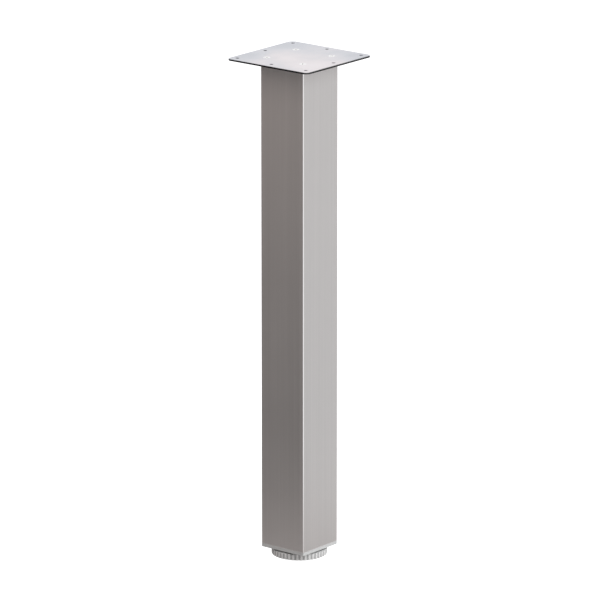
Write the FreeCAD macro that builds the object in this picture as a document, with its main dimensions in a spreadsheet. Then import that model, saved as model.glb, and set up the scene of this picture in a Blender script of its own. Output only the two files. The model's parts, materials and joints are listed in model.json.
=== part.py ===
import FreeCAD, Part
import Sketcher
import os

# Square table leg: an extruded tube with a screwed-on mounting plate and a screw-adjusted foot.
# Millimetres, +Z up. The origin is on the floor, on the leg's axis.

SIZES = [
    ("plate_side", 142, "mounting plate, side of the square"),
    ("plate_thickness", 2.5, "mounting plate, sheet thickness"),
    ("plate_corner_radius", 8, "mounting plate, rounded corners"),
    ("plate_edge_bevel", 0.4, "mounting plate, bevelled upper edge"),
    ("fixing_hole_diameter", 5, "wood screw holes in the plate"),
    ("fixing_hole_spacing", 60, "from one wood screw hole to the next along an edge"),
    ("screw_diameter", 5, "screws that hold the plate on the tube"),
    ("screw_length", 22, "plate screws, from the head's face to the end"),
    ("screw_fit", 0.05, "plate screws, room at each side in the plate and in the ports"),
    ("recess_width", 1.1, "plate screws, arm of the cross recess"),
    ("recess_span", 4.6, "plate screws, cross recess from tip to tip"),
    ("recess_depth", 1.3, "plate screws, depth of the cross recess"),
    ("tube_side", 75, "tube, outside"),
    ("tube_wall", 2, "tube, wall"),
    ("tube_corner_radius", 1.2, "tube, outer corners"),
    ("tube_length", 691.5, "tube, cut length"),
    ("port_inset", 6, "screw ports, from their centre to the tube's outer face"),
    ("port_wall", 1.6, "screw ports, wall round the bore"),
    ("port_slot_width", 2, "screw ports, slit towards the middle of the tube"),
    ("collar_height", 5, "insert, collar that shows under the tube"),
    ("collar_edge_bevel", 0.5, "insert, bevelled lower edge of the collar"),
    ("insert_wall", 2.6, "insert, walls and deck"),
    ("insert_depth", 30, "insert, skirt inside the tube"),
    ("insert_clearance", 0.5, "insert, from its skirt to the tube and its ports"),
    ("grip_rib_width", 2.4, "insert, ribs that press on the tube"),
    ("grip_rib_offset", 14, "insert, from the middle of a side to a grip rib"),
    ("grip_rib_lead", 5, "insert, skirt left plain above the grip ribs"),
    ("web_thickness", 2.2, "insert, webs from the boss to the skirt"),
    ("boss_wall", 3.2, "insert, wall round the nut"),
    ("nut_seat", 4, "insert, floor above the nut"),
    ("nut_width", 17, "nut, across flats"),
    ("nut_height", 8, "nut, height"),
    ("nut_chamfer", 0.6, "nut, bevelled mouths of the bore"),
    ("hex_fit", 0.1, "room at each flat of the nut and of the spindle's head"),
    ("spindle_diameter", 10, "spindle, shank"),
    ("spindle_length", 34, "spindle, shank above its head"),
    ("spindle_tip", 1, "spindle, bevelled end"),
    ("spindle_fit", 0.05, "spindle, room at each side in the nut and the foot"),
    ("spindle_room", 0.5, "spindle, room at each side in the insert"),
    ("head_width", 17, "spindle's low head, across flats"),
    ("head_height", 4.5, "spindle's low head, height"),
    ("foot_diameter", 78, "foot, over the ribs"),
    ("foot_rim_wall", 4.4, "foot, rim"),
    ("foot_top_wall", 2.4, "foot, top"),
    ("foot_top_bevel", 1.2, "foot, bevelled upper edge"),
    ("flute_count", 42, "foot, hollows between the ribs of the rim"),
    ("flute_radius", 1.8, "foot, radius of a hollow"),
    ("flute_depth", 0.9, "foot, depth of a hollow"),
    ("hub_wall", 3, "foot, wall round the spindle's head"),
    ("spoke_count", 8, "foot, spokes from the hub to the rim"),
    ("spoke_thickness", 1.8, "foot, thickness of a spoke"),
    ("rest_gap", 1.8, "from the foot to the collar as the leg stands"),
    ("glide_thickness", 2, "glide, disc"),
    ("glide_stand", 0.5, "glide, how far it stands below the foot's rim"),
    ("glide_edge_bevel", 0.6, "glide, bevelled lower edge"),
    ("glide_fit", 0.3, "glide, room between it and the foot"),
    ("pivot_diameter", 6, "glide, pivot in the spindle's head"),
    ("pivot_length", 3, "glide, length of the pivot"),
]

doc = FreeCAD.newDocument("square_table_leg")
sheet = doc.addObject("Spreadsheet::Sheet", "sizes")
for row, (alias, number, meaning) in enumerate(SIZES, start=1):
    sheet.set(f"A{row}", meaning)
    sheet.set(f"B{row}", str(number))
    sheet.setAlias(f"B{row}", alias)
doc.recompute()

# Lengths that follow from the driving sizes.
TUBE_HALF = "(sizes.tube_side / 2)"
BORE_HALF = "(sizes.tube_side / 2 - sizes.tube_wall)"
PORT_CENTRE = "(sizes.tube_side / 2 - sizes.port_inset)"
SCREW_HOLE_RADIUS = "(sizes.screw_diameter / 2 + sizes.screw_fit)"
PORT_RADIUS = f"({SCREW_HOLE_RADIUS} + sizes.port_wall)"
SCREW_HEAD_RADIUS = "(sizes.screw_diameter / 2 + sizes.plate_thickness)"
SKIRT_HALF = f"({BORE_HALF} - sizes.insert_clearance)"
SKIRT_NOTCH = f"({PORT_CENTRE} - {PORT_RADIUS} - sizes.insert_clearance)"
BOSS_RADIUS = "(sizes.nut_width / sqrt(3) + sizes.hex_fit + sizes.boss_wall)"
BOSS_HEIGHT = "(sizes.nut_height + sizes.nut_seat)"
HUB_RADIUS = "(sizes.head_width / sqrt(3) + sizes.hex_fit + sizes.hub_wall)"
RIM_INSIDE = "(sizes.foot_diameter / 2 - sizes.foot_rim_wall)"
GLIDE_RADIUS = f"({RIM_INSIDE} - sizes.glide_fit)"
HUB_BOTTOM = "(sizes.glide_thickness - sizes.glide_stand + sizes.glide_fit)"
FOOT_HEIGHT = f"({HUB_BOTTOM} + sizes.head_height + sizes.foot_top_wall)"

# Heights above the floor.
FOOT_LEVEL = "sizes.glide_stand"
HEAD_LEVEL = "(sizes.glide_thickness + sizes.glide_fit)"
COLLAR_LEVEL = f"(sizes.glide_stand + {FOOT_HEIGHT} + sizes.rest_gap)"
TUBE_LEVEL = f"({COLLAR_LEVEL} + sizes.collar_height)"
PLATE_LEVEL = f"({TUBE_LEVEL} + sizes.tube_length)"
PLATE_TOP = f"({PLATE_LEVEL} + sizes.plate_thickness)"

ORIGIN_POINT = (-1, 1)
SPOT = 0.01  # nearness at which a point counts as on an edge


def size(alias):
    return float(sheet.get(alias))


def new_body(label, level):
    body = doc.addObject("PartDesign::Body", label)
    body.Label = label
    body.setExpression("Placement.Base.z", level)
    return body


def origin_feature(body, role):
    return next(f for f in body.Origin.OriginFeatures if f.Role == role)


def new_sketch(body, name, plane="XY_Plane", level=None):
    sketch = body.newObject("Sketcher::SketchObject", name)
    sketch.AttachmentSupport = [(origin_feature(body, plane), "")]
    sketch.MapMode = "FlatFace"
    if level:
        sketch.setExpression("AttachmentOffset.Base.z", level)
    return sketch


def place_point(sketch, point, across, up):
    """Tie a sketch point to two lengths measured from the origin."""
    for kind, length in (("DistanceX", across), ("DistanceY", up)):
        index = sketch.addConstraint(Sketcher.Constraint(kind, *ORIGIN_POINT, *point, 1.0))
        sketch.setExpression(f"Constraints[{index}]", length)


def draw_outline(sketch, corners):
    """Draw a closed outline through corners given as pairs of lengths."""
    count = len(corners)
    start = FreeCAD.Vector(10, 0, 0)
    turn = FreeCAD.Rotation(FreeCAD.Vector(0, 0, 1), 360 / count)
    spots = [start]
    for _ in range(count - 1):
        spots.append(turn.multVec(spots[-1]))
    sides = [
        sketch.addGeometry(Part.LineSegment(spots[i], spots[(i + 1) % count]), False)
        for i in range(count)
    ]
    for i, side in enumerate(sides):
        following = sides[(i + 1) % count]
        sketch.addConstraint(Sketcher.Constraint("Coincident", side, 2, following, 1))
    for side, (across, up) in zip(sides, corners):
        place_point(sketch, (side, 1), across, up)


def draw_square(sketch, half):
    draw_outline(sketch, [(f"-{half}", f"-{half}"), (half, f"-{half}"), (half, half), (f"-{half}", half)])


def draw_cross(sketch, reach, notch):
    """Draw a square of half side reach, with its corners cut back to notch."""
    first = [(reach, f"-{notch}"), (reach, notch), (notch, notch)]
    second = [(notch, reach), (f"-{notch}", reach), (f"-{notch}", notch)]
    third = [(f"-{reach}", notch), (f"-{reach}", f"-{notch}"), (f"-{notch}", f"-{notch}")]
    fourth = [(f"-{notch}", f"-{reach}"), (notch, f"-{reach}"), (notch, f"-{notch}")]
    draw_outline(sketch, first + second + third + fourth)


def draw_circle(sketch, across, up, radius):
    circle = sketch.addGeometry(Part.Circle(FreeCAD.Vector(1, 1, 0), FreeCAD.Vector(0, 0, 1), 1), False)
    place_point(sketch, (circle, 3), across, up)
    index = sketch.addConstraint(Sketcher.Constraint("Radius", circle, 1.0))
    sketch.setExpression(f"Constraints[{index}]", radius)


def pad(body, sketch, length):
    feature = body.newObject("PartDesign::Pad", f"{sketch.Name}_pad")
    feature.Profile = sketch
    feature.setExpression("Length", length)
    return feature


def cut_up(body, sketch, length=None):
    """Cut upwards from the sketch, right through where no length is given."""
    doc.recompute()
    before = body.Shape.Volume
    feature = body.newObject("PartDesign::Pocket", f"{sketch.Name}_cut")
    feature.Profile = sketch
    feature.Reversed = True
    if length:
        feature.setExpression("Length", length)
    else:
        feature.Type = "ThroughAll"
    doc.recompute()
    if body.Shape.Volume >= before:
        raise RuntimeError(f"{feature.Name} cuts nothing")
    return feature


def turn_profile(body, sketch):
    feature = body.newObject("PartDesign::Revolution", f"{sketch.Name}_turned")
    feature.Profile = sketch
    feature.ReferenceAxis = (sketch, ["V_Axis"])
    feature.Angle = 360
    return feature


def primitive(body, kind, name, lengths, across="0", along="0", level="0"):
    """Add or cut a simple solid, with its lengths and place bound to the sheet."""
    feature = body.newObject(f"PartDesign::{kind}", name)
    feature.AttachmentSupport = [(origin_feature(body, "XY_Plane"), "")]
    feature.MapMode = "FlatFace"
    for direction, length in (("x", across), ("y", along), ("z", level)):
        feature.setExpression(f"AttachmentOffset.Base.{direction}", length)
    for prop, length in lengths.items():
        feature.setExpression(prop, length)
    return feature


def hexagon(body, kind, name, flat_half, height, level="0"):
    lengths = {"Circumradius": f"{flat_half} * 2 / sqrt(3)", "Height": height}
    feature = primitive(body, kind, name, lengths, level=level)
    feature.Polygon = 6
    return feature


def repeat_round(body, originals, count):
    pattern = body.newObject("PartDesign::PolarPattern", f"{originals[0].Name}_round")
    pattern.Originals = originals
    pattern.Axis = (origin_feature(body, "Z_Axis"), [""])
    pattern.Angle = 360
    pattern.setExpression("Occurrences", count)
    body.Tip = pattern
    return pattern


def edges_where(body, test):
    doc.recompute()
    names = [f"Edge{i}" for i, edge in enumerate(body.Tip.Shape.Edges, start=1) if test(edge)]
    if not names:
        raise RuntimeError(f"no edge found on {body.Label}")
    return names


def is_upright(edge):
    ends = [vertex.Point for vertex in edge.Vertexes]
    return len(ends) == 2 and (ends[0] - ends[1]).cross(FreeCAD.Vector(0, 0, 1)).Length < SPOT


def lies_at(edge, level):
    return edge.BoundBox.ZLength < SPOT and abs(edge.BoundBox.ZMin - level) < SPOT


def is_ring(edge, radius, level):
    curve = edge.Curve
    return isinstance(curve, Part.Circle) and abs(curve.Radius - radius) < SPOT and lies_at(edge, level)


def round_edges(body, name, radius, test):
    names = edges_where(body, test)
    base = body.Tip
    feature = body.newObject("PartDesign::Fillet", name)
    feature.Base = (base, names)
    feature.setExpression("Radius", radius)
    return feature


def bevel_edges(body, name, width, test):
    names = edges_where(body, test)
    base = body.Tip
    feature = body.newObject("PartDesign::Chamfer", name)
    feature.Base = (base, names)
    feature.setExpression("Size", width)
    return feature


def make_mounting_plate():
    body = new_body("mounting_plate", PLATE_LEVEL)
    outline = new_sketch(body, "plate_outline")
    draw_square(outline, "(sizes.plate_side / 2)")
    pad(body, outline, "sizes.plate_thickness")
    round_edges(body, "plate_corners", "sizes.plate_corner_radius", is_upright)
    top = size("plate_thickness")
    bevel_edges(body, "plate_top_edge", "sizes.plate_edge_bevel", lambda edge: lies_at(edge, top))
    holes = new_sketch(body, "fixing_holes")
    for along in ("sizes.fixing_hole_spacing", "0"):
        draw_circle(holes, "sizes.fixing_hole_spacing", along, "sizes.fixing_hole_diameter / 2")
    repeat_round(body, [cut_up(body, holes)], "4")
    cone = {
        "Radius1": SCREW_HOLE_RADIUS,
        "Radius2": f"{SCREW_HEAD_RADIUS} + sizes.screw_fit",
        "Height": "sizes.plate_thickness",
    }
    countersink = primitive(body, "SubtractiveCone", "countersink", cone, PORT_CENTRE, PORT_CENTRE)
    repeat_round(body, [countersink], "4")
    return body


def make_plate_screws():
    """Four countersunk screws with cross recesses: one is built and mirrored to the other corners."""
    screw = new_body("plate_screw", PLATE_TOP)
    screw.setExpression("Placement.Base.x", PORT_CENTRE)
    screw.setExpression("Placement.Base.y", PORT_CENTRE)
    profile = new_sketch(screw, "screw_profile", "XZ_Plane")
    shank = "(sizes.screw_diameter / 2)"
    corners = [
        ("0", "0"),
        (SCREW_HEAD_RADIUS, "0"),
        (shank, "-sizes.plate_thickness"),
        (shank, "-sizes.screw_length"),
        ("0", "-sizes.screw_length"),
    ]
    draw_outline(profile, corners)
    turn_profile(screw, profile)
    arms = [("sizes.recess_span", "sizes.recess_width"), ("sizes.recess_width", "sizes.recess_span")]
    for number, (length, width) in enumerate(arms, start=1):
        box = {"Length": length, "Width": width, "Height": "sizes.recess_depth"}
        place = (f"-{length} / 2", f"-{width} / 2", "-sizes.recess_depth")
        primitive(screw, "SubtractiveBox", f"cross_recess_{number}", box, *place)
    sources = [screw]
    for name, normal in (("right_to_left", (1, 0, 0)), ("back_to_front", (0, 1, 0))):
        mirrored = doc.addObject("Part::Mirroring", name)
        mirrored.Source = sources[-1]
        mirrored.Normal = FreeCAD.Vector(*normal)
        group = doc.addObject("Part::Compound", f"{name}_group")
        group.Links = [sources[-1], mirrored]
        sources.append(group)
    sources[-1].Label = "plate_screws"
    return sources[-1]


def make_leg_tube():
    """Extruded square tube with a slit screw port in each corner."""
    body = new_body("leg_tube", TUBE_LEVEL)
    outside = new_sketch(body, "tube_outside")
    draw_square(outside, TUBE_HALF)
    pad(body, outside, "sizes.tube_length")
    round_edges(body, "tube_corners", "sizes.tube_corner_radius", is_upright)
    inside = new_sketch(body, "tube_inside")
    draw_square(inside, BORE_HALF)
    cut_up(body, inside)
    back = new_sketch(body, "port_back")
    near = [(PORT_CENTRE, PORT_CENTRE), (BORE_HALF, PORT_CENTRE)]
    far = [(BORE_HALF, BORE_HALF), (PORT_CENTRE, BORE_HALF)]
    draw_outline(back, near + far)
    back_pad = pad(body, back, "sizes.tube_length")
    wall = new_sketch(body, "port_round")
    draw_circle(wall, PORT_CENTRE, PORT_CENTRE, PORT_RADIUS)
    wall_pad = pad(body, wall, "sizes.tube_length")
    bore = new_sketch(body, "port_bore")
    draw_circle(bore, PORT_CENTRE, PORT_CENTRE, SCREW_HOLE_RADIUS)
    bore_cut = cut_up(body, bore)
    slot = new_sketch(body, "port_slot")
    aside = "sizes.port_slot_width / sqrt(8)"
    corners = [
        (f"{PORT_CENTRE} + {aside}", f"{PORT_CENTRE} - {aside}"),
        (f"{PORT_CENTRE} - {aside}", f"{PORT_CENTRE} + {aside}"),
        (f"{PORT_CENTRE} - {aside} - {PORT_RADIUS}", f"{PORT_CENTRE} + {aside} - {PORT_RADIUS}"),
        (f"{PORT_CENTRE} + {aside} - {PORT_RADIUS}", f"{PORT_CENTRE} - {aside} - {PORT_RADIUS}"),
    ]
    draw_outline(slot, corners)
    slot_cut = cut_up(body, slot)
    repeat_round(body, [back_pad, wall_pad, bore_cut, slot_cut], "4")
    return body


def make_foot_insert():
    """Moulded insert: collar, ribbed skirt with notches for the ports, and a webbed boss for the nut."""
    body = new_body("foot_insert", COLLAR_LEVEL)
    collar = new_sketch(body, "collar_outline")
    draw_square(collar, TUBE_HALF)
    pad(body, collar, "sizes.collar_height")
    round_edges(body, "collar_corners", "sizes.tube_corner_radius", is_upright)
    bevel_edges(body, "collar_lower_edge", "sizes.collar_edge_bevel", lambda edge: lies_at(edge, 0))
    underside = new_sketch(body, "underside_hollow")
    draw_square(underside, f"({TUBE_HALF} - sizes.insert_wall)")
    cut_up(body, underside, "sizes.collar_height - sizes.insert_wall")
    skirt = new_sketch(body, "skirt_outline", level="sizes.collar_height")
    draw_cross(skirt, SKIRT_HALF, SKIRT_NOTCH)
    pad(body, skirt, "sizes.insert_depth")
    hollow = new_sketch(body, "skirt_hollow", level="sizes.collar_height")
    draw_cross(hollow, f"({SKIRT_HALF} - sizes.insert_wall)", f"({SKIRT_NOTCH} - sizes.insert_wall)")
    cut_up(body, hollow)
    boss = new_sketch(body, "boss_outline")
    draw_circle(boss, "0", "0", BOSS_RADIUS)
    pad(body, boss, BOSS_HEIGHT)
    middle = "-sizes.web_thickness / 2"
    lower = {
        "Length": f"{TUBE_HALF} - sizes.insert_wall / 2",
        "Width": "sizes.web_thickness",
        "Height": "sizes.collar_height",
    }
    lower_web = primitive(body, "AdditiveBox", "lower_web", lower, "0", middle, "0")
    upper = {
        "Length": f"{SKIRT_HALF} - sizes.insert_wall / 2",
        "Width": "sizes.web_thickness",
        "Height": f"{BOSS_HEIGHT} - sizes.collar_height",
    }
    upper_web = primitive(body, "AdditiveBox", "upper_web", upper, "0", middle, "sizes.collar_height")
    rib = {
        "Length": "sizes.insert_wall / 2 + sizes.insert_clearance",
        "Width": "sizes.grip_rib_width",
        "Height": "sizes.insert_depth - sizes.grip_rib_lead",
    }
    rib_root = f"{SKIRT_HALF} - sizes.insert_wall / 2"
    ribs = [
        primitive(
            body,
            "AdditiveBox",
            f"grip_rib_{side}",
            rib,
            rib_root,
            f"{sign}sizes.grip_rib_offset - sizes.grip_rib_width / 2",
            "sizes.collar_height",
        )
        for side, sign in (("near", ""), ("far", "-"))
    ]
    repeat_round(body, [lower_web, upper_web] + ribs, "4")
    flat_half = "(sizes.nut_width / 2 + sizes.hex_fit)"
    hexagon(body, "SubtractivePrism", "nut_pocket", flat_half, "sizes.nut_height")
    hole = {"Radius": "sizes.spindle_diameter / 2 + sizes.spindle_room", "Height": BOSS_HEIGHT}
    primitive(body, "SubtractiveCylinder", "spindle_way", hole)
    return body


def make_insert_nut():
    body = new_body("insert_nut", COLLAR_LEVEL)
    hexagon(body, "AdditivePrism", "nut_block", "(sizes.nut_width / 2)", "sizes.nut_height")
    hole = {"Radius": "sizes.spindle_diameter / 2 + sizes.spindle_fit", "Height": "sizes.nut_height"}
    primitive(body, "SubtractiveCylinder", "nut_bore", hole)
    radius = size("spindle_diameter") / 2 + size("spindle_fit")
    levels = (0, size("nut_height"))
    bevel_edges(
        body,
        "nut_mouths",
        "sizes.nut_chamfer",
        lambda edge: any(is_ring(edge, radius, level) for level in levels),
    )
    return body


def make_foot_spindle():
    """Spindle with a low hexagon head, which has a socket for the glide's pivot."""
    body = new_body("foot_spindle", HEAD_LEVEL)
    hexagon(body, "AdditivePrism", "spindle_head", "(sizes.head_width / 2)", "sizes.head_height")
    shank = {"Radius": "sizes.spindle_diameter / 2", "Height": "sizes.spindle_length"}
    primitive(body, "AdditiveCylinder", "spindle_shank", shank, level="sizes.head_height")
    top = size("head_height") + size("spindle_length")
    radius = size("spindle_diameter") / 2
    bevel_edges(body, "spindle_end", "sizes.spindle_tip", lambda edge: is_ring(edge, radius, top))
    socket = {"Radius": "sizes.pivot_diameter / 2 + sizes.spindle_fit", "Height": "sizes.pivot_length"}
    primitive(body, "SubtractiveCylinder", "pivot_socket", socket)
    return body


def make_adjuster_foot():
    """Moulded cup, open below, with a hub, spokes and a fluted rim."""
    body = new_body("adjuster_foot", FOOT_LEVEL)
    profile = new_sketch(body, "foot_profile", "XZ_Plane")
    outside = "(sizes.foot_diameter / 2)"
    ceiling = f"({FOOT_HEIGHT} - sizes.foot_top_wall)"
    corners = [
        ("0", FOOT_HEIGHT),
        (outside, FOOT_HEIGHT),
        (outside, "0"),
        (RIM_INSIDE, "0"),
        (RIM_INSIDE, ceiling),
        (HUB_RADIUS, ceiling),
        (HUB_RADIUS, HUB_BOTTOM),
        ("0", HUB_BOTTOM),
    ]
    draw_outline(profile, corners)
    turn_profile(body, profile)
    doc.recompute()
    radius = size("foot_diameter") / 2
    top = body.Tip.Shape.BoundBox.ZMax
    bevel_edges(body, "foot_top_edge", "sizes.foot_top_bevel", lambda edge: is_ring(edge, radius, top))
    roots = "(sizes.hub_wall + sizes.foot_rim_wall - sizes.flute_depth) / 2"
    spoke = {
        "Length": f"{RIM_INSIDE} - {HUB_RADIUS} + {roots}",
        "Width": "sizes.spoke_thickness",
        "Height": f"{ceiling} - {HUB_BOTTOM}",
    }
    place = (f"{HUB_RADIUS} - sizes.hub_wall / 2", "-sizes.spoke_thickness / 2", HUB_BOTTOM)
    spoke_box = primitive(body, "AdditiveBox", "spoke", spoke, *place)
    repeat_round(body, [spoke_box], "sizes.spoke_count")
    flat_half = "(sizes.head_width / 2 + sizes.hex_fit)"
    hexagon(body, "SubtractivePrism", "head_pocket", flat_half, "sizes.head_height", HUB_BOTTOM)
    hole = {"Radius": "sizes.spindle_diameter / 2 + sizes.spindle_fit", "Height": FOOT_HEIGHT}
    primitive(body, "SubtractiveCylinder", "shank_hole", hole)
    flute = new_sketch(body, "flute")
    draw_circle(flute, f"{outside} + sizes.flute_radius - sizes.flute_depth", "0", "sizes.flute_radius")
    repeat_round(body, [cut_up(body, flute)], "sizes.flute_count")
    return body


def make_floor_glide():
    body = new_body("floor_glide", "0")
    profile = new_sketch(body, "glide_profile", "XZ_Plane")
    pivot = "(sizes.pivot_diameter / 2)"
    pivot_top = "(sizes.glide_thickness + sizes.pivot_length)"
    corners = [
        ("0", "0"),
        (GLIDE_RADIUS, "0"),
        (GLIDE_RADIUS, "sizes.glide_thickness"),
        (pivot, "sizes.glide_thickness"),
        (pivot, pivot_top),
        ("0", pivot_top),
    ]
    draw_outline(profile, corners)
    turn_profile(body, profile)
    doc.recompute()
    radius = body.Tip.Shape.BoundBox.XMax
    bevel_edges(body, "glide_edge", "sizes.glide_edge_bevel", lambda edge: is_ring(edge, radius, 0))
    return body


nodes = [
    make_mounting_plate(),
    make_plate_screws(),
    make_leg_tube(),
    make_foot_insert(),
    make_insert_nut(),
    make_foot_spindle(),
    make_adjuster_foot(),
    make_floor_glide(),
]
doc.recompute()

for item in doc.Objects:
    if "Invalid" in item.State or "Error" in item.State:
        raise RuntimeError(f"{item.Name} failed: {item.State}")
for node in nodes:
    if node.Shape.isNull() or not node.Shape.isValid():
        raise RuntimeError(f"{node.Label} has no valid shape")

os.makedirs("parts", exist_ok=True)
for node in nodes:
    node.Shape.exportStep(os.path.join("parts", f"{node.Label}.step"))
    print(node.Label, len(node.Shape.Solids), "solids", round(node.Shape.Volume, 1), "mm3")
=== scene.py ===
import json
import math
import bmesh
import bpy
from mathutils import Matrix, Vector


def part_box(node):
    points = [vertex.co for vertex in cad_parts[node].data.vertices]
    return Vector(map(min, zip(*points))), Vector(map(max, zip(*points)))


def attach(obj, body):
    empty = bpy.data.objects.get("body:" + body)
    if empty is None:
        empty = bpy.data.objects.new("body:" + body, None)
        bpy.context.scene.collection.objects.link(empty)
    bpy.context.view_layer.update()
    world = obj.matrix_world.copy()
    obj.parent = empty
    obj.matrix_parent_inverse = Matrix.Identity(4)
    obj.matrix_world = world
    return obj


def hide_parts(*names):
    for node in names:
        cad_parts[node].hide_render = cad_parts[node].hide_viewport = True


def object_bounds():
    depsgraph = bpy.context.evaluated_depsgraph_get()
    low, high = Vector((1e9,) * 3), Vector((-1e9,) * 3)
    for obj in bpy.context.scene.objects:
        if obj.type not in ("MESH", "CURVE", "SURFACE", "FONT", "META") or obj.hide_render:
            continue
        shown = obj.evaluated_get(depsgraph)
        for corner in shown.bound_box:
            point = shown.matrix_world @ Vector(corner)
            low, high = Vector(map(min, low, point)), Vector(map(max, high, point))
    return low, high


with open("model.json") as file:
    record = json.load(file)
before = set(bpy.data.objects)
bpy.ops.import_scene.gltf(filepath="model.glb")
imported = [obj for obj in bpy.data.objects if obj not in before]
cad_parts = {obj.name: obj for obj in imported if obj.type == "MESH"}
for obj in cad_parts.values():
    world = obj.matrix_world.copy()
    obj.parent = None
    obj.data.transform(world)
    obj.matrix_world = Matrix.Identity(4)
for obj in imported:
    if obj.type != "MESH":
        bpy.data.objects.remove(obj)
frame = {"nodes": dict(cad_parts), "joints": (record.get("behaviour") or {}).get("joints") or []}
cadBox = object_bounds()
nodes = frame["nodes"]
fullTurn = 2 * math.pi
print("frame loaded:", len(nodes), "nodes")


# node helpers

def addNode(tree, kind, **settings):
    node = tree.nodes.new(kind)
    for key, value in settings.items():
        setattr(node, key, value)
    return node


def setInputs(node, **values):
    for key, value in values.items():
        node.inputs[key.replace("_", " ")].default_value = value
    return node


def plug(tree, socket, value):  # a plain value is set, an output is linked
    if hasattr(value, "is_output"):
        tree.links.new(value, socket)
    elif isinstance(value, tuple) and len(value) == 3 and socket.type == "RGBA":
        socket.default_value = (*value, 1.0)
    else:
        socket.default_value = value


def mathNode(tree, operation, first, second=0.0):
    node = addNode(tree, "ShaderNodeMath", operation=operation)
    plug(tree, node.inputs[0], first)
    plug(tree, node.inputs[1], second)
    return node.outputs[0]


def vectorNode(tree, operation, first, second=(0.0, 0.0, 0.0)):
    node = addNode(tree, "ShaderNodeVectorMath", operation=operation)
    plug(tree, node.inputs[0], first)
    plug(tree, node.inputs[1], second)
    return node.outputs["Value" if operation in ("DOT_PRODUCT", "LENGTH") else "Vector"]


def mapRange(tree, value, fromLow, fromHigh, toLow, toHigh):
    node = addNode(tree, "ShaderNodeMapRange", interpolation_type="SMOOTHSTEP")
    for key, limit in zip(node.inputs.keys()[:5], (value, fromLow, fromHigh, toLow, toHigh)):
        plug(tree, node.inputs[key], limit)
    return node.outputs["Result"]


def noiseNode(tree, where, scale, detail=2.0, roughness=0.5):
    node = addNode(tree, "ShaderNodeTexNoise")
    plug(tree, node.inputs["Vector"], where)
    plug(tree, node.inputs["Scale"], scale)
    setInputs(node, Detail=detail, Roughness=roughness)
    return node.outputs["Fac"]


def mixed(tree, mask, first, second):  # first where the mask is 0, second where it is 1
    node = addNode(tree, "ShaderNodeMix", data_type="RGBA")
    colours = [socket for socket in node.inputs if socket.type == "RGBA"]
    plug(tree, node.inputs["Factor"], mask)
    plug(tree, colours[0], first)
    plug(tree, colours[1], second)
    return node.outputs[2]


def tinted(tree, colour, *tones):  # a colour multiplied by any number of tones
    last = colour
    for tone in tones:
        node = addNode(tree, "ShaderNodeMix", data_type="RGBA", blend_type="MULTIPLY")
        colours = [socket for socket in node.inputs if socket.type == "RGBA"]
        node.inputs["Factor"].default_value = 1.0
        plug(tree, colours[0], last)
        plug(tree, colours[1], tone)
        last = node.outputs[2]
    return last


# shared effects, each a node group

def newGroup(name, inputs, outputs):
    group = bpy.data.node_groups.new(name, "ShaderNodeTree")
    for label, kind, value in inputs:
        socket = group.interface.new_socket(name=label, in_out="INPUT", socket_type=kind)
        socket.default_value = value
    for label in outputs:
        group.interface.new_socket(name=label, in_out="OUTPUT", socket_type="NodeSocketFloat")
    return group, addNode(group, "NodeGroupInput").outputs, addNode(group, "NodeGroupOutput").inputs


def objectPlace(tree):
    return addNode(tree, "ShaderNodeTexCoord").outputs["Object"]


grainForm = {"fineRoughness": 0.6, "coarseScale": 0.23}  # fine lines among broader ones


def makeGrainGroup():  # lines left by drawing, rolling or brushing
    inputs = [
        ("Lines per metre", "NodeSocketVector", (900, 900, 4)),
        ("Spread", "NodeSocketFloat", 0.1),
    ]
    group, given, out = newGroup("drawnGrain", inputs, ["Height", "Tone"])
    stretched = vectorNode(group, "MULTIPLY", objectPlace(group), given["Lines per metre"])
    fine = noiseNode(group, stretched, 1.0, roughness=grainForm["fineRoughness"])
    coarse = noiseNode(group, stretched, grainForm["coarseScale"], detail=1.0)
    centred = mathNode(group, "SUBTRACT", mathNode(group, "ADD", fine, coarse), 1.0)
    spread = mathNode(group, "MULTIPLY", centred, given["Spread"])
    plug(group, out["Height"], spread)
    plug(group, out["Tone"], mathNode(group, "ADD", spread, 1.0))
    return group


def makeCloudGroup():  # slow drift of tone and gloss over a surface
    inputs = [
        ("Clouds per metre", "NodeSocketFloat", 20.0),
        ("Contrast", "NodeSocketFloat", 0.1),
        ("Start", "NodeSocketVector", (0, 0, 0)),
    ]
    group, given, out = newGroup("surfaceDrift", inputs, ["Tone", "Gloss"])
    moved = vectorNode(group, "ADD", objectPlace(group), given["Start"])
    cloud = noiseNode(group, moved, given["Clouds per metre"], detail=3.0)
    drift = mathNode(group, "MULTIPLY", mathNode(group, "SUBTRACT", cloud, 0.5), given["Contrast"])
    plug(group, out["Tone"], mathNode(group, "ADD", drift, 1.0))
    plug(group, out["Gloss"], drift)
    return group


def makeSpeckGroup():  # small pits of a moulded or plated skin
    inputs = [("Specks per metre", "NodeSocketFloat", 2500.0), ("Depth", "NodeSocketFloat", 1.0)]
    group, given, out = newGroup("skinSpeck", inputs, ["Height"])
    speck = noiseNode(group, objectPlace(group), given["Specks per metre"], detail=1.0)
    plug(group, out["Height"], mathNode(group, "MULTIPLY", speck, given["Depth"]))
    return group


wearForm = {
    "samples": 6,
    "bent": 0.86,  # agreement of the true and the rounded normal on an edge
    "flat": 0.995,
    "thinBelow": 0.3,
    "fullAbove": 0.65,
    "thin": 0.35,
}


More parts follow.
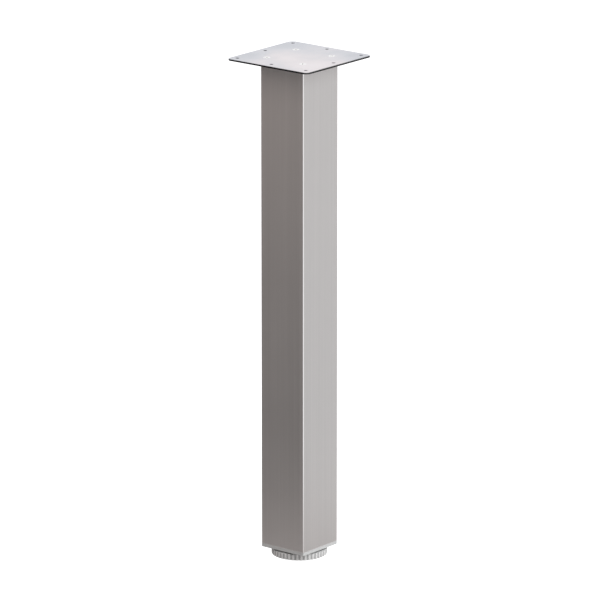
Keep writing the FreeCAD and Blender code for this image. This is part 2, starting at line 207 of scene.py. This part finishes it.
def makeEdgeGroup():  # 1 along sharp edges, 0 on open faces, broken up a little
    inputs = [("Width", "NodeSocketFloat", 0.0008), ("Breaks per metre", "NodeSocketFloat", 300.0)]
    group, given, out = newGroup("rubbedEdge", inputs, ["Mask"])
    rounded = addNode(group, "ShaderNodeBevel", samples=wearForm["samples"])
    plug(group, rounded.inputs["Radius"], given["Width"])
    flat = addNode(group, "ShaderNodeNewGeometry").outputs["Normal"]
    agree = vectorNode(group, "DOT_PRODUCT", flat, rounded.outputs["Normal"])
    edge = mapRange(group, agree, wearForm["bent"], wearForm["flat"], 1.0, 0.0)
    breaks = noiseNode(group, objectPlace(group), given["Breaks per metre"])
    wear = mapRange(group, breaks, wearForm["thinBelow"], wearForm["fullAbove"], wearForm["thin"], 1.0)
    plug(group, out["Mask"], mathNode(group, "MULTIPLY", edge, wear))
    return group


grainGroup = makeGrainGroup()
cloudGroup = makeCloudGroup()
speckGroup = makeSpeckGroup()
edgeGroup = makeEdgeGroup()


def useGroup(tree, group, **values):
    return setInputs(addNode(tree, "ShaderNodeGroup", node_tree=group), **values).outputs


def bumped(tree, shader, height, look):
    bump = setInputs(addNode(tree, "ShaderNodeBump"), Strength=look["bump"], Distance=look["bumpDepth"])
    plug(tree, bump.inputs["Height"], height)
    plug(tree, shader.inputs["Normal"], bump.outputs["Normal"])


def newMaterial(name):
    material = bpy.data.materials.new(name)
    material.use_nodes = True
    return material, material.node_tree, material.node_tree.nodes["Principled BSDF"]


def dress(obj, material):
    obj.data.materials.clear()
    obj.data.materials.append(material)


# satin tube, with a painted highlight on its edges and rounded corners
tubeLook = {
    "colour": (0.572, 0.550, 0.540),
    # edgeColour is lighter and fully metallic: a painted highlight on the rounded corners, and wear
    # with painted highlight on rubbed edges
    "edgeColour": (0.86, 0.85, 0.842),
    "edgeWidth": 0.0012,
    "metal": 0.65,
    "roughness": 0.34,
    "grain": (1100.0, 1100.0, 5.0),
    "grainSpread": 0.10,
    "drift": 0.06,
    "clouds": 7.0,
    "breaks": 40.0,
    "cornerFrom": 0.05,  # product of the normal's X and Y where a rounded corner begins
    "cornerFull": 0.3,
    "bump": 0.1,
    "bumpDepth": 0.0002,
}


def objectNormal(tree):
    split = addNode(tree, "ShaderNodeSeparateXYZ")
    plug(tree, split.inputs[0], addNode(tree, "ShaderNodeTexCoord").outputs["Normal"])
    return split.outputs


def paintedCornerHighlight(tree):  # 1 on the tube's rounded corners, 0 on its faces; masks the painted corner highlight
    facing = objectNormal(tree)
    both = mathNode(tree, "MULTIPLY", facing["X"], facing["Y"])
    turned = mathNode(tree, "ABSOLUTE", both)
    return mapRange(tree, turned, tubeLook["cornerFrom"], tubeLook["cornerFull"], 0.0, 1.0)


def makeTubeMaterial():
    material, tree, shader = newMaterial("satinTube")
    lines = {"Lines_per_metre": tubeLook["grain"], "Spread": tubeLook["grainSpread"]}
    grain = useGroup(tree, grainGroup, **lines)
    drift = useGroup(tree, cloudGroup, Clouds_per_metre=tubeLook["clouds"], Contrast=tubeLook["drift"])
    rubbed = useGroup(tree, edgeGroup, Width=tubeLook["edgeWidth"], Breaks_per_metre=tubeLook["breaks"])
    # painted highlight: a lighter, fully metallic colour on the rounded corners; on rubbed edges it is
    # wear and painted highlight
    wearAndPaintedHighlight = mathNode(tree, "MAXIMUM", rubbed["Mask"], paintedCornerHighlight(tree))
    face = tinted(tree, tubeLook["colour"], grain["Tone"], drift["Tone"])
    plug(tree, shader.inputs["Base Color"], mixed(tree, wearAndPaintedHighlight, face, tubeLook["edgeColour"]))
    rough = mathNode(tree, "ADD", grain["Height"], tubeLook["roughness"])
    plug(tree, shader.inputs["Roughness"], mathNode(tree, "ADD", rough, drift["Gloss"]))
    plug(tree, shader.inputs["Metallic"], mapRange(tree, wearAndPaintedHighlight, 0.0, 1.0, tubeLook["metal"], 1.0))
    bumped(tree, shader, grain["Height"], tubeLook)
    return material


# plated mounting plate: its cloudy tone carries painted light, and its upright faces are near black
plateLook = {
    "colour": (0.715, 0.674, 0.694),
    "coolColour": (0.655, 0.67, 0.725),
    "edgeColour": (0.05, 0.05, 0.05),
    "rim": 0.006,
    "roughness": 0.30,
    "grain": (40.0, 500.0, 40.0),
    "grainSpread": 0.05,
    "drift": 0.75,
    "clouds": 9.0,
    # where the clouds fall is painted light: lighter and warmer at the front, darker and cooler at the
    # back
    "paintedLightCloudStart": (-0.25, 0.15, 0.0),
    "coolBelow": 0.89,
    "warmAbove": 1.12,
    "holeShare": 0.3,  # how dark the holes' walls are beside the plate's outside
    "uprightBelow": 0.15,
    "levelAbove": 0.35,
    "bump": 0.05,
    "bumpDepth": 0.0002,
}


def darkEdgeShare(tree):  # 1 round the plate's outside, less from the holes inwards
    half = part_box("mounting_plate")[1].x
    apart = addNode(tree, "ShaderNodeSeparateXYZ")
    plug(tree, apart.inputs[0], vectorNode(tree, "ABSOLUTE", objectPlace(tree)))
    furthest = mathNode(tree, "MAXIMUM", apart.outputs["X"], apart.outputs["Y"])
    rim = plateLook["rim"]
    return mapRange(tree, furthest, half - rim, half - rim / 2, plateLook["holeShare"], 1.0)


def makePlateMaterial():
    material, tree, shader = newMaterial("platedSheet")
    lines = {"Lines_per_metre": plateLook["grain"], "Spread": plateLook["grainSpread"]}
    grain = useGroup(tree, grainGroup, **lines)
    clouds = {"Clouds_per_metre": plateLook["clouds"], "Contrast": plateLook["drift"]}
    drift = useGroup(tree, cloudGroup, Start=plateLook["paintedLightCloudStart"], **clouds)
    # painted light: the plating's strong cloudy tone and warmth make the front lighter and warmer, the
    # back darker and cooler
    paintedLightWarmth = mapRange(tree, drift["Tone"], plateLook["coolBelow"], plateLook["warmAbove"], 0.0, 1.0)
    platingAndPaintedLight = mixed(tree, paintedLightWarmth, plateLook["coolColour"], plateLook["colour"])
    face = tinted(tree, platingAndPaintedLight, grain["Tone"], drift["Tone"])
    level = mathNode(tree, "ABSOLUTE", objectNormal(tree)["Z"])
    upright = mapRange(tree, level, plateLook["uprightBelow"], plateLook["levelAbove"], 1.0, 0.0)
    # near-black colour on the upright faces: full round the outside, less on the holes' walls
    darkUpright = mathNode(tree, "MULTIPLY", upright, darkEdgeShare(tree))
    plug(tree, shader.inputs["Base Color"], mixed(tree, darkUpright, face, plateLook["edgeColour"]))
    rough = mathNode(tree, "ADD", grain["Height"], plateLook["roughness"])
    plug(tree, shader.inputs["Roughness"], rough)
    shader.inputs["Metallic"].default_value = 1.0
    bumped(tree, shader, grain["Height"], plateLook)
    return material


# bright plating of the screws, the nut and the spindle
screwLook = {
    "colour": (0.93, 0.93, 0.925),
    "rubbed": (0.97, 0.97, 0.96),
    "roughness": 0.18,
    "clouds": 160.0,
    "drift": 0.12,
    "rubWidth": 0.0004,
    "breaks": 900.0,
    "specks": 6000.0,
    "bump": 0.05,
    "bumpDepth": 0.0001,
}


def skinEffects(tree, look):  # drift, rubbed edges and speckle of a plated or moulded skin
    drift = useGroup(tree, cloudGroup, Clouds_per_metre=look["clouds"], Contrast=look["drift"])
    rubbed = useGroup(tree, edgeGroup, Width=look["rubWidth"], Breaks_per_metre=look["breaks"])
    speck = useGroup(tree, speckGroup, Specks_per_metre=look["specks"], Depth=1.0)
    return drift, rubbed, speck


def makeScrewMaterial():
    material, tree, shader = newMaterial("platedScrew")
    drift, rubbed, speck = skinEffects(tree, screwLook)
    body = tinted(tree, screwLook["colour"], drift["Tone"])
    plug(tree, shader.inputs["Base Color"], mixed(tree, rubbed["Mask"], body, screwLook["rubbed"]))
    rough = mathNode(tree, "ADD", drift["Gloss"], screwLook["roughness"])
    plug(tree, shader.inputs["Roughness"], rough)
    shader.inputs["Metallic"].default_value = 1.0
    bumped(tree, shader, speck["Height"], screwLook)
    return material


# matt mouldings: grey for the insert and the foot, dark for the glide
mouldSkin = {
    "clouds": 60.0,
    "drift": 0.1,
    "rubWidth": 0.0006,
    "breaks": 400.0,
    "specks": 2600.0,
    "bump": 0.12,
    "bumpDepth": 0.0001,
}
greyLook = {"colour": (0.52, 0.52, 0.515), "rubbed": (0.64, 0.64, 0.63), "roughness": 0.48}
glideLook = {"colour": (0.10, 0.10, 0.10), "rubbed": (0.2, 0.2, 0.2), "roughness": 0.6}


def makeMouldMaterial(name, look, shade=None):  # shade recolours the body under its rubbed edges
    material, tree, shader = newMaterial(name)
    drift, rubbed, speck = skinEffects(tree, mouldSkin)
    body = tinted(tree, look["colour"], drift["Tone"])
    if shade:
        body = shade(tree, body)
    plug(tree, shader.inputs["Base Color"], mixed(tree, rubbed["Mask"], body, look["rubbed"]))
    plug(tree, shader.inputs["Roughness"], mathNode(tree, "ADD", drift["Gloss"], look["roughness"]))
    bumped(tree, shader, speck["Height"], mouldSkin)
    return material


tubeMaterial = makeTubeMaterial()
plateMaterial = makePlateMaterial()
screwMaterial = makeScrewMaterial()
greyMaterial = makeMouldMaterial("greyMoulding", greyLook)
glideMaterial = makeMouldMaterial("glideMoulding", glideLook)
finishes = {
    "leg_tube": tubeMaterial,
    "mounting_plate": plateMaterial,
    "plate_screws": screwMaterial,
    "insert_nut": screwMaterial,
    "foot_spindle": screwMaterial,
    "foot_insert": greyMaterial,
    "floor_glide": glideMaterial,
}
for nodeName, finish in finishes.items():
    dress(nodes[nodeName], finish)
print("finishes set:", len(finishes))


# turned pieces are stacks of rings with the same number of points

def evenAngles(count):
    return [fullTurn * step / count for step in range(count)]


def ringPoints(angles, radius, height):  # radius and height are numbers or follow the angle
    points = []
    for angle in angles:
        reach = radius(angle) if callable(radius) else radius
        level = height(angle) if callable(height) else height
        points.append(Vector((reach * math.cos(angle), reach * math.sin(angle), level)))
    return points


def stackRings(mesh, rings, looped=False):  # ends are closed with a point in the middle
    rows = [[mesh.verts.new(point) for point in ring] for ring in rings]
    pairs = list(zip(rows, rows[1:]))
    if looped:
        pairs.append((rows[-1], rows[0]))
    for lower, upper in pairs:
        for step in range(len(lower)):
            ahead = (step + 1) % len(lower)
            mesh.faces.new((lower[step], lower[ahead], upper[ahead], upper[step]))
    if looped:
        return
    for row in (rows[0], rows[-1]):
        middle = sum((vert.co for vert in row), Vector()) / len(row)
        hub = mesh.verts.new(middle)
        for step in range(len(row)):
            mesh.faces.new((row[step], row[(step + 1) % len(row)], hub))


def steps(low, high, count):
    return [low + (high - low) * step / count for step in range(count + 1)]


def rotated(point, turn):
    across = point.x * math.cos(turn) - point.y * math.sin(turn)
    along = point.x * math.sin(turn) + point.y * math.cos(turn)
    return Vector((across, along, point.z))


def finishPiece(name, mesh, node, body, material, crease=32):
    bmesh.ops.recalc_face_normals(mesh, faces=mesh.faces)
    data = bpy.data.meshes.new(name)
    mesh.to_mesh(data)
    mesh.free()
    data.shade_smooth()
    data.set_sharp_from_angle(angle=math.radians(crease))
    piece = bpy.data.objects.new(name, data)
    bpy.context.scene.collection.objects.link(piece)
    dress(piece, material)
    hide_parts(node)
    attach(piece, body)
    print(name, len(data.polygons), "faces")


threadForm = {"steepness": 1.3, "rootFlat": 0.12}


def threadRadius(crest, depth, pitch, angle, level):  # right-hand thread round the Z axis
    phase = (level / pitch - angle / fullTurn) % 1.0
    flank = abs(2 * phase - 1) * threadForm["steepness"] - threadForm["rootFlat"]
    return crest - depth * (1 - min(max(flank, 0.0), 1.0))


def hexRadius(flatHalf, angle):  # corners point along X
    sector = fullTurn / 6
    return flatHalf / math.cos(angle % sector - sector / 2)


# plate screws: countersunk heads with a tapered cross recess and a rolled thread
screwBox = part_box("plate_screws")
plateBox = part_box("mounting_plate")
plateThickness = plateBox[1].z - plateBox[0].z
screwSizes = {
    "headRim": 0.00015,
    "shankRadius": 0.0025,
    "threadDepth": 0.0005,
    "pitch": 0.0008,
    "recessReach": 0.0023,
    "recessHalfWidth": 0.00055,
    "recessDepth": 0.0013,
    "recessTaper": 0.7,
    "recessMouth": 1.06,
    "tip": 0.0008,
    "tipTaper": 0.7,
    "segments": 40,
    "threadRings": 150,
}


def crossRadius(angle):  # outline of the recess, seen from its middle
    fold = abs((angle + fullTurn / 8) % (fullTurn / 4) - fullTurn / 8)
    ends = screwSizes["recessReach"] / math.cos(fold)
    sides = screwSizes["recessHalfWidth"] / max(math.sin(fold), 1e-6)  # the sine is 0 along an arm
    return min(ends, sides)


def screwAngles():  # even steps, and the recess's own corners
    corner = math.atan(screwSizes["recessHalfWidth"] / screwSizes["recessReach"])
    corners = [quarter * fullTurn / 4 + side * corner for quarter in range(4) for side in (-1, 1)]
    return sorted(set(evenAngles(screwSizes["segments"]) + [angle % fullTurn for angle in corners]))


def headRadius():  # a right-angled cone as deep as the plate
    return screwSizes["shankRadius"] + plateThickness


def screwRings(angles):
    head = headRadius()
    rim = screwSizes["headRim"]
    shank = screwSizes["shankRadius"]
    end = screwBox[0].z - screwBox[1].z
    taper = screwSizes["recessTaper"]
    mouth = screwSizes["recessMouth"]
    tip = screwSizes["tip"]
    thread = (shank, screwSizes["threadDepth"], screwSizes["pitch"])
    rings = [
        ringPoints(angles, lambda angle: crossRadius(angle) * taper, -screwSizes["recessDepth"]),
        ringPoints(angles, crossRadius, -rim / 2),
        ringPoints(angles, lambda angle: crossRadius(angle) * mouth, 0.0),
        ringPoints(angles, head - rim, 0.0),
        ringPoints(angles, head, -rim),
    ]
    for level in steps(-plateThickness, end, screwSizes["threadRings"]):
        room = shank - tip * max(0.0, 1 - (level - end) / tip) * screwSizes["tipTaper"]

        def surface(angle, level=level, room=room):
            return min(room, threadRadius(*thread, angle, level))

        rings.append(ringPoints(angles, surface, level))
    return rings


def makePlateScrews():
    mesh = bmesh.new()
    rings = screwRings(screwAngles())
    centre = screwBox[1].x - headRadius()
    turns = [((1, 1), 12), ((-1, 1), 47), ((-1, -1), 71), ((1, -1), 33)]  # corner, recess's angle
    for (across, along), degrees in turns:
        place = Vector((across * centre, along * centre, screwBox[1].z))
        turn = math.radians(degrees)
        stackRings(mesh, [[rotated(point, turn) + place for point in ring] for ring in rings])
    finishPiece("plateScrewSet", mesh, "plate_screws", "leg", screwMaterial)


makePlateScrews()

# spindle and nut share one thread
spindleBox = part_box("foot_spindle")
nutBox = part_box("insert_nut")
threadSizes = {
    "crest": 0.005,
    "depth": 0.0009,
    "pitch": 0.0015,
    "play": 0.00012,
    "segments": 48,
    "ringsPerTurn": 8,
}
spindleSizes = {"headHeight": 0.0045, "headBevel": 0.0004, "threadStart": 0.0004, "endBevel": 0.001}
nutSizes = {"faceShare": 0.95, "cornerSlope": 30, "mouth": 0.0006}


def spindleThread(angle, level):
    return threadRadius(threadSizes["crest"], threadSizes["depth"], threadSizes["pitch"], angle, level)


def makeSpindle():
    mesh = bmesh.new()
    angles = evenAngles(threadSizes["segments"])
    low = spindleBox[0].z
    high = spindleBox[1].z
    flatHalf = (spindleBox[1].y - spindleBox[0].y) / 2
    headTop = low + spindleSizes["headHeight"]
    bevel = spindleSizes["headBevel"]

    def hexRing(inset, level):
        return ringPoints(angles, lambda angle: hexRadius(flatHalf - inset, angle), level)

    rings = [hexRing(bevel, low), hexRing(0, low + bevel)]
    rings += [hexRing(0, headTop - bevel), hexRing(bevel, headTop)]
    neck = threadSizes["crest"] - threadSizes["depth"]
    rings.append(ringPoints(angles, neck, headTop))
    count = round((high - headTop) / threadSizes["pitch"] * threadSizes["ringsPerTurn"])
    for level in steps(headTop + spindleSizes["threadStart"], high, count):
        room = threadSizes["crest"] - max(0.0, spindleSizes["endBevel"] - (high - level))

        def surface(angle, level=level, room=room):
            return min(room, spindleThread(angle, level))

        rings.append(ringPoints(angles, surface, level))
    stackRings(mesh, rings)
    finishPiece("threadedSpindle", mesh, "foot_spindle", "foot", screwMaterial)


def makeNut():
    mesh = bmesh.new()
    angles = evenAngles(threadSizes["segments"])
    low = nutBox[0].z
    high = nutBox[1].z
    flatHalf = (nutBox[1].y - nutBox[0].y) / 2
    face = flatHalf * nutSizes["faceShare"]
    slope = math.tan(math.radians(nutSizes["cornerSlope"]))
    mouth = nutSizes["mouth"]
    play = threadSizes["play"]
    bore = threadSizes["crest"] + play

    def corner(angle):
        return hexRadius(flatHalf, angle)

    rings = [
        ringPoints(angles, face, high),
        ringPoints(angles, corner, lambda angle: high - (corner(angle) - face) * slope),
        ringPoints(angles, corner, lambda angle: low + (corner(angle) - face) * slope),
        ringPoints(angles, face, low),
        ringPoints(angles, bore + mouth, low),
    ]
    count = round((high - low) / threadSizes["pitch"] * threadSizes["ringsPerTurn"])
    for level in steps(low + mouth, high - mouth, count):

        def surface(angle, level=level):
            return spindleThread(angle, level) + play

        rings.append(ringPoints(angles, surface, level))
    rings.append(ringPoints(angles, bore + mouth, high))
    stackRings(mesh, rings, looped=True)
    finishPiece("threadedNut", mesh, "insert_nut", "leg", screwMaterial)


makeSpindle()
makeNut()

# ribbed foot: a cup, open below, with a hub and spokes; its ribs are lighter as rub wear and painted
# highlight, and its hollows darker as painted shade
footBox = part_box("adjuster_foot")
footSizes = {
    "radius": 0.039,
    "rimWall": 0.0044,
    "topWall": 0.0024,
    "topRound": 0.0012,
    "bottomRound": 0.0006,
    "ribs": 42,
    "ribSteps": 12,
    "hollowDepth": 0.0009,
    "hollowFloor": 0.12,  # shares of half a rib's pitch, from the hollow's middle
    "ribStart": 0.78,
    "roundSteps": 4,
    "rimBevel": 0.0003,
    "innerRound": 0.0005,
    "hubWall": 0.003,
    "hubFit": 0.0001,
    "spokes": 8,
    "spokeThickness": 0.0018,
    "spokeDraft": 0.0002,
    "spokeSunk": 0.001,  # how far a spoke's ends run into the hub and the rim
    "spokeRaised": 0.0005,
    "holeFit": 0.00005,
}
ribLook = {
    # the hollow colour is painted shade; the crest colour is rub wear and painted highlight
    "hollow": (0.39, 0.39, 0.385),
    "crest": (0.65, 0.64, 0.635),
    "hollowFade": 0.0006,
    "ribFade": 0.0002,
    "margin": 0.0001,
}


def ribWearAndPaintedLight(tree, body):  # painted shade: darker in the hollows round the foot; rub wear and painted highlight: lighter on the ribs between them
    flat = vectorNode(tree, "MULTIPLY", objectPlace(tree), (1.0, 1.0, 0.0))
    out = vectorNode(tree, "LENGTH", flat)
    top = footSizes["radius"]
    floor = top - footSizes["hollowDepth"]
    margin = ribLook["margin"]
    paintedShadeInHollow = mapRange(tree, out, floor - ribLook["hollowFade"], floor - margin, 0.0, 1.0)
    wearAndHighlightOnRib = mapRange(tree, out, floor + ribLook["ribFade"], top - margin, 0.0, 1.0)
    return mixed(tree, wearAndHighlightOnRib, mixed(tree, paintedShadeInHollow, body, ribLook["hollow"]), ribLook["crest"])


footMaterial = makeMouldMaterial("ribbedMoulding", greyLook, ribWearAndPaintedLight)
dress(nodes["adjuster_foot"], footMaterial)


def smoothStep(low, high, value):
    share = min(max((value - low) / (high - low), 0.0), 1.0)
    return share * share * (3 - 2 * share)


def ribRadius(angle):  # hollows are centred as in the CAD model, the first along X
    pitch = fullTurn / footSizes["ribs"]
    fromHollow = abs((angle + pitch / 2) % pitch - pitch / 2) / (pitch / 2)
    rise = smoothStep(footSizes["hollowFloor"], footSizes["ribStart"], fromHollow)
    return footSizes["radius"] - footSizes["hollowDepth"] * (1 - rise)


def roundedRings(angles, radius, level, size, upward):  # a quarter round, from flat face to side
    rings = []
    for turn in steps(0, fullTurn / 4, footSizes["roundSteps"]):
        inset = size * (1 - math.sin(turn))
        drop = size * (1 - math.cos(turn))
        height = level - drop if upward else level + drop
        rings.append(ringPoints(angles, lambda angle, inset=inset: radius(angle) - inset, height))
    return rings


def addSpoke(mesh, turn, near, far, low, high):
    half = footSizes["spokeThickness"] / 2
    ends = []
    for level, side in ((low, half - footSizes["spokeDraft"]), (high, half)):
        corners = ((near, -side), (far, -side), (far, side), (near, side))
        ends.append([rotated(Vector((across, along, level)), turn) for across, along in corners])
    stackRings(mesh, ends)


def makeFoot():
    mesh = bmesh.new()
    angles = evenAngles(footSizes["ribs"] * footSizes["ribSteps"])
    low = footBox[0].z
    high = footBox[1].z
    ceiling = high - footSizes["topWall"]
    inside = footSizes["radius"] - footSizes["rimWall"]
    flatHalf = (spindleBox[1].y - spindleBox[0].y) / 2 + footSizes["hubFit"]
    hub = flatHalf * 2 / math.sqrt(3) + footSizes["hubWall"]
    hubLow = spindleBox[0].z
    hole = threadSizes["crest"] + footSizes["holeFit"]
    topEdge = footSizes["radius"] - footSizes["topRound"] - 2 * footSizes["hollowDepth"]
    bevel = footSizes["rimBevel"]
    fillet = footSizes["innerRound"]
    rings = [ringPoints(angles, hole, high), ringPoints(angles, topEdge, high)]
    rings += roundedRings(angles, ribRadius, high, footSizes["topRound"], True)
    rings += reversed(roundedRings(angles, ribRadius, low, footSizes["bottomRound"], False))
    rings += [
        ringPoints(angles, inside + bevel, low),
        ringPoints(angles, inside, low + bevel),
        ringPoints(angles, inside, ceiling - fillet),
        ringPoints(angles, inside - fillet, ceiling),
        ringPoints(angles, hub + fillet, ceiling),
        ringPoints(angles, hub, ceiling - fillet),
        ringPoints(angles, hub, hubLow + bevel),
        ringPoints(angles, hub - bevel, hubLow),
        ringPoints(angles, lambda angle: hexRadius(flatHalf, angle), hubLow),
        ringPoints(angles, lambda angle: hexRadius(flatHalf, angle), ceiling),
        ringPoints(angles, hole, ceiling),
    ]
    stackRings(mesh, rings, looped=True)
    sunk = footSizes["spokeSunk"]
    for turn in evenAngles(footSizes["spokes"]):
        addSpoke(mesh, turn, hub - sunk, inside + sunk, hubLow, ceiling + footSizes["spokeRaised"])
    finishPiece("ribbedFoot", mesh, "adjuster_foot", "foot", footMaterial)


makeFoot()
print("turned pieces made")


# floor, light and camera
lightLook = {
    "brightSide": (0.97, -0.24, 0.0),
    "sides": [
        (-1.0, (0.01, 0.008, 0.008)),
        (-0.4, (0.015, 0.012, 0.011)),
        (0.4, (0.78, 0.80, 0.815)),
        (1.0, (1.4, 1.42, 1.44)),
    ],
    "middle": (0.55, 0.467, 0.442),
    "horizonContrast": 0.5,  # the two sides differ less towards the horizon
    "contrastHeights": (-0.3, -0.05),
    "ceiling": (0.31, 0.31, 0.315),
    "ceilingHeights": (0.1, 0.6),
    "skylight": (0.9, 0.9, 0.9),
    "skylightHeights": (0.7, 0.95),
    "backCard": (1.0, 1.0, 1.0),  # what the plate mirrors
    "backCardPlace": (-0.613, 0.757, 0.225),
    "backCardEdge": (0.6, 0.9),
}
softboxes = [
    {
        "name": "keySoftbox",
        "place": (1.6, 0.0, 1.4),
        "aim": (0.0, 0.0, 0.4),
        "size": 1.2,
        "watts": 27.0,
        "colour": (0.94, 0.98, 1.0),
    },
    {
        "name": "fillSoftbox",
        "place": (-0.2, -0.35, 1.0),
        "aim": (0.0, 0.0, 0.6),
        "size": 0.35,
        "watts": 1.9,
        "colour": (1.0, 0.86, 0.80),
    },
    {
        "name": "footSoftbox",
        "place": (0.18, 0.02, 0.02),
        "aim": (0.0, 0.0, 0.02),
        "size": 0.05,
        "watts": 0.045,
        "colour": (1.0, 1.0, 1.0),
    },
]
floorLook = {
    "size": 30.0,
    "colour": (0.5, 0.5, 0.5),
    "glow": 0.97,
    "nearTone": (0.47, 0.435, 0.425),  # what the tube mirrors of the floor round its foot
    "nearShare": 0.8,
    "nearReach": 0.62,
}
cameraLook = {
    "azimuth": 39.0,
    "elevation": 15.3,
    "distance": 8.0,
    "lens": 343.0,
    "aimHeight": 0.36,
    "aimAside": 0.0064,
}


def blendShaders(tree, share, first, second):
    node = addNode(tree, "ShaderNodeMixShader")
    plug(tree, node.inputs["Fac"], share)
    plug(tree, node.inputs[1], first)
    plug(tree, node.inputs[2], second)
    return node.outputs["Shader"]


def footReach():  # how far the foot screws out below where it stands
    return next(max(joint["range_m"]) for joint in frame["joints"] if joint["name"] == "foot_height")


def makeFloor():
    half = floorLook["size"] / 2
    low = cadBox[0].z - footReach()
    data = bpy.data.meshes.new("floor")
    corners = [(-half, -half, low), (half, -half, low), (half, half, low), (-half, half, low)]
    data.from_pydata(corners, [], [(0, 1, 2, 3)])
    floor = bpy.data.objects.new("floor", data)
    bpy.context.scene.collection.objects.link(floor)
    material, tree, shader = newMaterial("paleFloor")
    plug(tree, shader.inputs["Base Color"], floorLook["colour"])
    plug(tree, shader.inputs["Emission Color"], (1.0, 1.0, 1.0))
    setInputs(shader, Roughness=1.0, Specular_IOR_Level=0.0)
    paths = addNode(tree, "ShaderNodeLightPath").outputs
    glow = mathNode(tree, "MULTIPLY", paths["Is Camera Ray"], floorLook["glow"])
    plug(tree, shader.inputs["Emission Strength"], glow)
    clear = addNode(tree, "ShaderNodeBsdfTransparent").outputs["BSDF"]
    nearFloor = addNode(tree, "ShaderNodeEmission")
    plug(tree, nearFloor.inputs["Color"], floorLook["nearTone"])
    away = vectorNode(tree, "LENGTH", objectPlace(tree))
    near = mapRange(tree, away, 0.0, floorLook["nearReach"], floorLook["nearShare"], 0.0)
    mirrored = blendShaders(tree, near, clear, nearFloor.outputs["Emission"])
    seen = blendShaders(tree, paths["Is Glossy Ray"], shader.outputs["BSDF"], mirrored)
    behind = addNode(tree, "ShaderNodeNewGeometry").outputs["Backfacing"]
    surface = blendShaders(tree, behind, seen, clear)  # clear from below, to show the foot
    plug(tree, tree.nodes["Material Output"].inputs["Surface"], surface)
    dress(floor, material)


def makeSurroundings():
    world = bpy.data.worlds.new("studio")
    bpy.context.scene.world = world
    world.use_nodes = True
    tree = world.node_tree
    tree.nodes.clear()
    outward = addNode(tree, "ShaderNodeTexCoord").outputs["Generated"]
    along = vectorNode(tree, "DOT_PRODUCT", outward, lightLook["brightSide"])
    ramp = addNode(tree, "ShaderNodeValToRGB")
    stops = ramp.color_ramp.elements
    while len(stops) < len(lightLook["sides"]):
        stops.new(0.5)
    for stop, (where, colour) in zip(stops, lightLook["sides"]):
        stop.position = (where + 1) / 2
        stop.color = (*colour, 1.0)
    plug(tree, ramp.inputs["Fac"], mathNode(tree, "MULTIPLY", mathNode(tree, "ADD", along, 1.0), 0.5))
    rise = vectorNode(tree, "DOT_PRODUCT", outward, (0.0, 0.0, 1.0))
    contrast = mapRange(tree, rise, *lightLook["contrastHeights"], 1.0, lightLook["horizonContrast"])
    room = mixed(tree, contrast, lightLook["middle"], ramp.outputs["Color"])
    for part in ("ceiling", "skylight"):
        above = mapRange(tree, rise, *lightLook[part + "Heights"], 0.0, 1.0)
        room = mixed(tree, above, room, lightLook[part])
    towardsCard = vectorNode(tree, "DOT_PRODUCT", outward, lightLook["backCardPlace"])
    onCard = mapRange(tree, towardsCard, *lightLook["backCardEdge"], 0.0, 1.0)
    lit = addNode(tree, "ShaderNodeBackground")
    plug(tree, lit.inputs["Color"], mixed(tree, onCard, room, lightLook["backCard"]))
    seen = addNode(tree, "ShaderNodeBackground")
    plug(tree, seen.inputs["Color"], (1.0, 1.0, 1.0))
    direct = addNode(tree, "ShaderNodeLightPath").outputs["Is Camera Ray"]
    either = blendShaders(tree, direct, lit.outputs[0], seen.outputs[0])
    plug(tree, addNode(tree, "ShaderNodeOutputWorld").inputs["Surface"], either)
    bpy.context.scene.view_settings.view_transform = "Standard"


def addSoftbox(look):
    data = bpy.data.lights.new(look["name"], "AREA")
    data.energy = look["watts"]
    data.size = look["size"]
    data.color = look["colour"]
    lamp = bpy.data.objects.new(look["name"], data)
    lamp.location = look["place"]
    lamp.rotation_mode = "QUATERNION"
    lamp.rotation_quaternion = (Vector(look["aim"]) - Vector(look["place"])).to_track_quat("-Z", "Y")
    lamp.visible_camera = False
    lamp.visible_glossy = False
    bpy.context.scene.collection.objects.link(lamp)


def makeCamera():
    data = bpy.data.cameras.new("camera")
    data.lens = cameraLook["lens"]
    camera = bpy.data.objects.new("camera", data)
    turn = math.radians(cameraLook["azimuth"])
    rise = math.radians(cameraLook["elevation"])
    right = Vector((math.cos(turn), math.sin(turn), 0))
    back = Vector((math.sin(turn) * math.cos(rise), -math.cos(turn) * math.cos(rise), math.sin(rise)))
    aim = Vector((0, 0, cameraLook["aimHeight"])) + right * cameraLook["aimAside"]
    camera.location = aim + back * cameraLook["distance"]
    camera.rotation_mode = "QUATERNION"
    camera.rotation_quaternion = (-back).to_track_quat("-Z", "Y")
    bpy.context.scene.collection.objects.link(camera)
    bpy.context.scene.camera = camera


makeFloor()
makeSurroundings()
for softbox in softboxes:
    addSoftbox(softbox)
makeCamera()
print("stage set")
